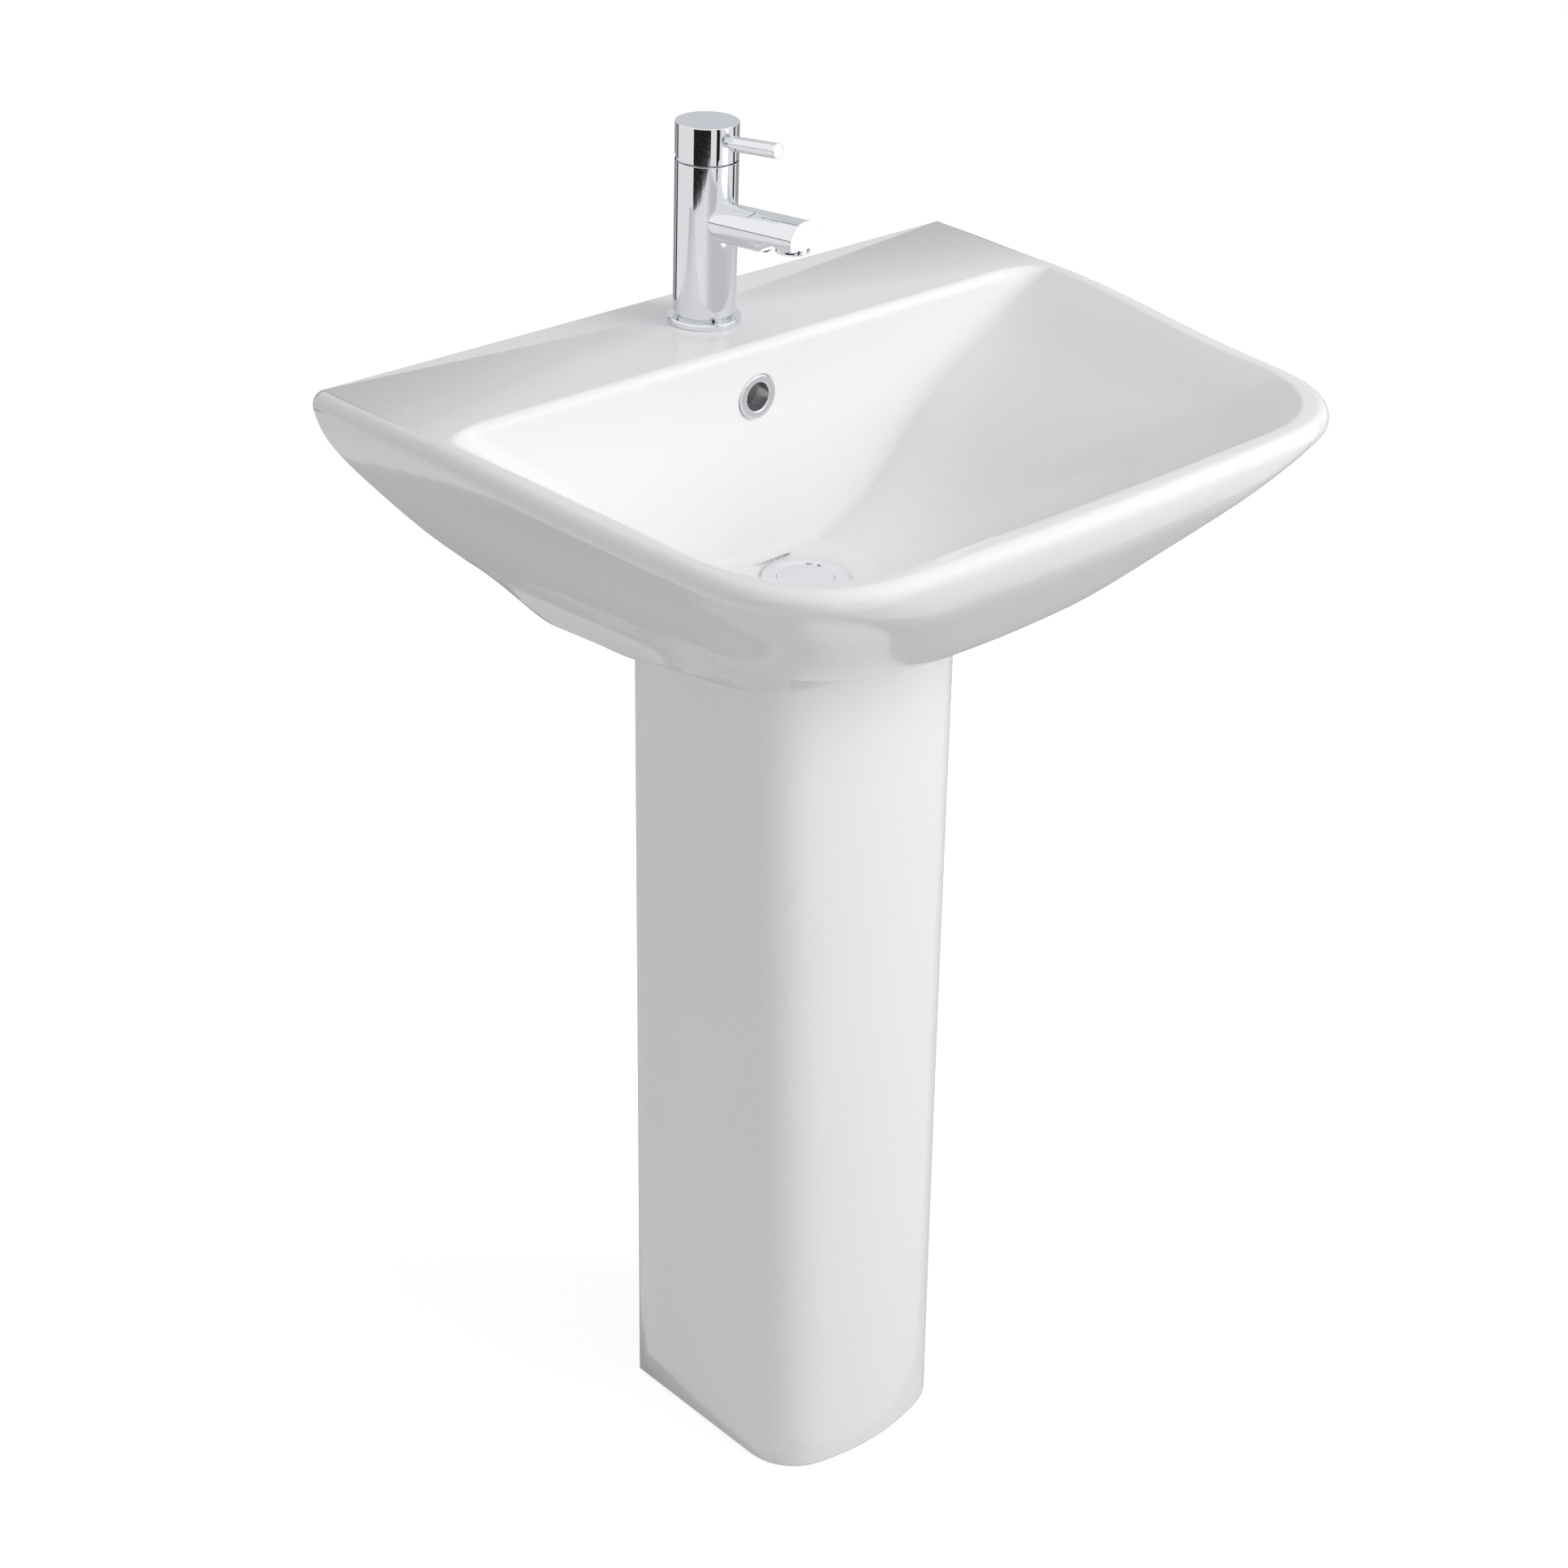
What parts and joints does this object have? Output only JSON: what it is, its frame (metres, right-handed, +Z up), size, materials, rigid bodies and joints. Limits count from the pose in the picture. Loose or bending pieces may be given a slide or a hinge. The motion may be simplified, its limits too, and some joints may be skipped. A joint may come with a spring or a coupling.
{
  "type": "pedestal sink",
  "caption": "White ceramic pedestal wash basin with a tap deck, overflow, pop-up waste, bottle trap and a single-lever mixer tap.",
  "frame": {"origin": "on the floor, centred between the outermost sides, the wall plane and the front rim", "axes": "+X along the wall, +Y towards the wall, +Z up"},
  "size_m": [0.597, 0.454, 1.0287],
  "materials": {
    "basin_glaze": "glossy white glaze",
    "pedestal_glaze": "glossy white glaze",
    "chrome": "polished chrome plate",
    "plug_chrome": "polished chrome plate",
    "white_plastic": "moulded polypropylene",
    "grey_plastic": "moulded acetal",
    "black_rubber": "plain black rubber",
    "brass": "turned brass",
    "disc_ceramic": "lapped ceramic",
    "steel": "plated steel"
  },
  "bodies": {
    "sink": {"basin": "basin_glaze", "pedestal": "pedestal_glaze", "overflow_ring": "chrome", "waste_body": "chrome", "tap_base_ring": "chrome", "tap_body": "chrome", "aerator_housing": "chrome", "tap_shroud": "chrome", "pop_up_cartridge": "white_plastic", "trap_cup": "white_plastic", "trap_inlet_nut": "white_plastic", "trap_outlet_nut": "white_plastic", "trap_body": "white_plastic", "trap_outlet_pipe": "white_plastic", "aerator_insert": "grey_plastic", "cartridge_base": "grey_plastic", "cartridge_housing": "grey_plastic", "waste_top_gasket": "black_rubber", "waste_cone_washer": "black_rubber", "trap_inlet_washer": "black_rubber", "trap_cup_seal": "black_rubber", "trap_outlet_washer": "black_rubber", "tap_base_gasket": "black_rubber", "aerator_washer": "black_rubber", "cartridge_seal": "black_rubber", "fixing_washer_rubber": "black_rubber", "waste_back_nut": "brass", "cartridge_nut": "brass", "fixing_nut": "brass", "fixed_disc": "disc_ceramic", "fixing_stud": "steel", "fixing_washer_metal": "steel"},
    "rotor": {"cartridge_rotor": "grey_plastic", "pivot_pin": "steel"},
    "handle": {"handle_cap": "chrome", "lever_rod": "chrome", "grub_screw": "steel", "tap_spindle": "steel"},
    "disc": {"moving_disc": "disc_ceramic", "disc_carrier": "grey_plastic"},
    "plug": {"waste_plug": "plug_chrome", "plug_seal": "black_rubber"}
  },
  "joints": [
    {"name": "lever_turn", "type": "hinge", "parent": "sink", "child": "rotor", "pos_m": [0, 0.1738, 0.997], "axis": [0, 0, 1], "range_deg": [-45, 45]},
    {"name": "lever_lift", "type": "hinge", "parent": "rotor", "child": "handle", "pos_m": [0, 0.1738, 0.997], "axis": [-1, 0, 0], "range_deg": [0, 14]},
    {"name": "disc_slide", "type": "slide", "parent": "rotor", "child": "disc", "axis": [0, -1, 0], "range_m": [0, 0.0036]},
    {"name": "plug_pop", "type": "slide", "parent": "sink", "child": "plug", "axis": [0, 0, 1], "range_m": [0, 0.008]}
  ],
  "couplings": [
    {"joint": "disc_slide", "follows": "lever_lift", "m_per_rad": 0.0145}
  ]
}
